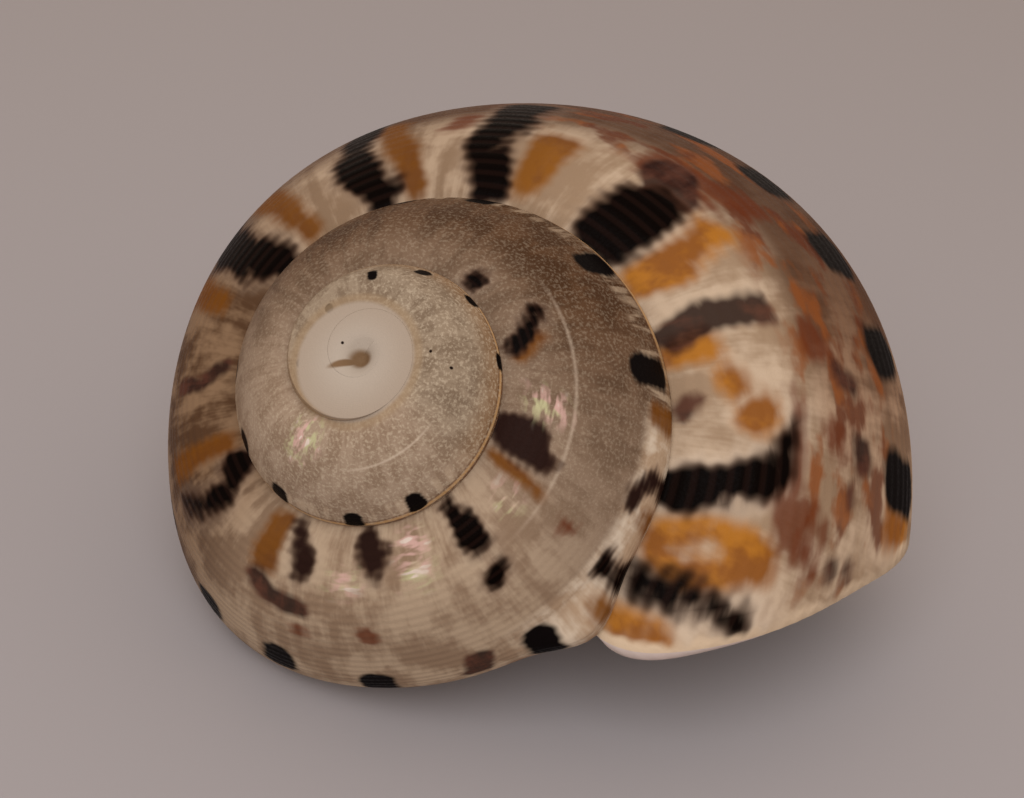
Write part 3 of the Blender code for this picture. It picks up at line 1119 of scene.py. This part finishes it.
def painted_glints(graph, pattern, colour):
    """Painted highlights and sheen on worn-through mother-of-pearl, as small pink, green and white sparks.
    """
    late = pattern.comes(FINE_SPARKS_COME)
    fineness = [between(*each, late) for each in zip(EARLY_SPARKS, LATE_SPARKS)]
    sparks = graph.noise(pattern.stretched(*fineness), 1.0, 2.0, 0.6)
    hue = graph.noise(pattern.stretched(*SHEEN_HUE_NOISE), 1.0, 1.0)
    # Pink and green painted sheen, with white painted highlights where the sparks are strongest
    sheen = graph.mix(PINK_PAINTED_SHEEN, GREEN_PAINTED_SHEEN, graph.ramp(hue, 0.45, 0.55))
    sheen = graph.mix(sheen, WHITE_PAINTED_GLINT, graph.ramp(sparks, 0.6, 0.7))
    zone = pattern.within(pattern.painted_glint, 0.12)
    return graph.mix(colour, sheen, zone * graph.ramp(sparks, 0.42, 0.6) * 0.9)


def lip_margin(graph, pattern, colour):
    """The pale edge of the lip."""
    behind = pattern.turn - lip(pattern.across) / TURN + pattern.wobble * 0.06
    return graph.mix(colour, LIP_EDGE, graph.ramp(behind, -0.006, -0.001))


def tip_colour(graph, pattern, colour):
    """The worn cream disc at the tip, with its ring, its brown pit and slit, and the pinholes as dots of
    painted shade.
    """
    x, y, z = graph.parts(pattern.place)
    top = graph.ramp(z, *TIP_HEIGHTS)
    away = hypot(x - DISC_MIDDLE[0], y - DISC_MIDDLE[1])
    ring = graph.ramp(away, *RING_RISES) * graph.ramp(away, *RING_FALLS, 1.0, 0.0)
    colour = graph.mix(colour, DISC_RING, ring * top * 0.6)
    disc = graph.mix(*DISC, graph.ramp(away, 0.05, 0.2))
    colour = graph.mix(colour, disc, graph.ramp(away, *DISC_EDGE, 1.0, 0.0) * top)
    pit = graph.ramp(hypot(x - PIT_PLACE[0], (y - PIT_PLACE[1]) * PIT_STRETCH), *PIT_EDGE, 1.0, 0.0)
    run, rise = SLIT_RUN
    slit_x, slit_y = x - SLIT_MIDDLE[0], y - SLIT_MIDDLE[1]
    along = (slit_x * run + slit_y * rise) / SLIT_HALF_LENGTH
    aside = (slit_y * run - slit_x * rise) / SLIT_HALF_WIDTH
    slit = graph.ramp(hypot(along, aside), 0.6, 1.2, 1.0, 0.0)
    colour = graph.mix(colour, PIT, most(pit, slit) * top * 0.9)
    # Each pinhole is a dark dot of painted shade
    for hole_x, hole_y in PINHOLES:
        hole = graph.ramp(hypot(x - hole_x, y - hole_y), *PINHOLE_EDGE, 1.0, 0.0)
        colour = graph.mix(colour, PINHOLE_SHADE, hole * top)
    return colour


def surface_relief(graph, pattern):
    """The fine relief: cords on the last whorl, growth lines and grain."""
    lines = graph.noise(pattern.stretched(*GROWTH_LINES), 1.0, 2.0)
    height = pattern.cords * pattern.comes(CORDS_COME, 0.05, 0.25) + lines * 0.5 + pattern.grain * 0.6
    sockets = {"Strength": 0.25, "Distance": RELIEF, "Height": height}
    return graph.node("ShaderNodeBump", None, sockets, "Normal")


def shell_material():
    """The patterned outside, and the pale inside."""
    material = bpy.data.materials.new("patterned shell")
    material.use_nodes = True
    material.node_tree.nodes.clear()
    graph = Graph(material.node_tree)
    pattern = Pattern(graph)
    colour = ground_colour(graph, pattern)
    for paint in (flecks, coloured_bars, black_bars, painted_glints, lip_margin, tip_colour):
        colour = paint(graph, pattern, colour)
    inner = graph.mix(*INSIDE, graph.noise(pattern.place, 3.0, solid=True))
    sockets = {
        "Base Color": graph.mix(colour, inner, graph.ramp(pattern.inside, 0.2, 0.9)),
        "Roughness": graph.ramp(pattern.grain, 0.3, 0.7, 0.32, 0.5),
        "Specular IOR Level": 0.02,
        "Normal": surface_relief(graph, pattern),
    }
    finish = graph.node("ShaderNodeBsdfPrincipled", None, sockets)
    graph.node("ShaderNodeOutputMaterial", None, {"Surface": finish})
    return material


def plain_material(name, colour, roughness):
    material = bpy.data.materials.new(name)
    material.use_nodes = True
    finish = material.node_tree.nodes["Principled BSDF"]
    finish.inputs["Base Color"].default_value = (*colour, 1)
    finish.inputs["Roughness"].default_value = roughness
    return material


# ------------------------------------------------------------------ stage


def make_floor():
    """One wide plain plane under the shell."""
    size = 4.0
    mesh = bpy.data.meshes.new("floor")
    corners = [(-size, -size, 0), (size, -size, 0), (size, size, 0), (-size, size, 0)]
    mesh.from_pydata(corners, [], [(0, 1, 2, 3)])
    mesh.materials.append(plain_material("floor", (0.332, 0.314, 0.332), 0.8))
    floor = bpy.data.objects.new("floor", mesh)
    bpy.context.scene.collection.objects.link(floor)


def make_lights():
    """A soft even room, and a wide lamp overhead."""
    world = bpy.data.worlds.new("soft room")
    bpy.context.scene.world = world
    world.use_nodes = True
    background = world.node_tree.nodes["Background"]
    background.inputs["Color"].default_value = (1.0, 0.82, 0.68, 1)
    background.inputs["Strength"].default_value = 0.76
    data = bpy.data.lights.new("overhead lamp", "AREA")
    data.shape = "DISK"
    data.size = 90 * MM
    data.energy = 0.049
    data.color = (0.92, 0.96, 1.0)
    lamp = bpy.data.objects.new("overhead lamp", data)
    lamp.location = Vector((-8, -58, 76)) * MM
    lamp.rotation_euler = lamp.location.to_track_quat("Z", "Y").to_euler()
    bpy.context.scene.collection.objects.link(lamp)


def make_camera():
    """Looks down on the tip from the front, a little turned."""
    data = bpy.data.cameras.new("camera")
    data.sensor_width = 36
    data.lens = 51.93
    data.clip_start = 1 * MM
    data.clip_end = 20
    camera = bpy.data.objects.new("camera", data)
    elevation = math.radians(33.94)
    roll = math.radians(5.83)
    distance = 23.175 * MM
    aim = Vector((-0.606, -5.687, 7.719)) * MM
    near = Vector((0, -math.cos(elevation), math.sin(elevation)))
    camera.location = aim + near * distance
    camera.rotation_mode = "QUATERNION"
    camera.rotation_quaternion = near.to_track_quat("Z", "Y") @ Euler((0, 0, roll)).to_quaternion()
    bpy.context.scene.collection.objects.link(camera)
    bpy.context.scene.camera = camera


def main():
    bpy.context.scene.view_settings.view_transform = "Standard"
    shell = make_shell()
    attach(shell, "root")
    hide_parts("shell")
    make_floor()
    make_lights()
    make_camera()


main()
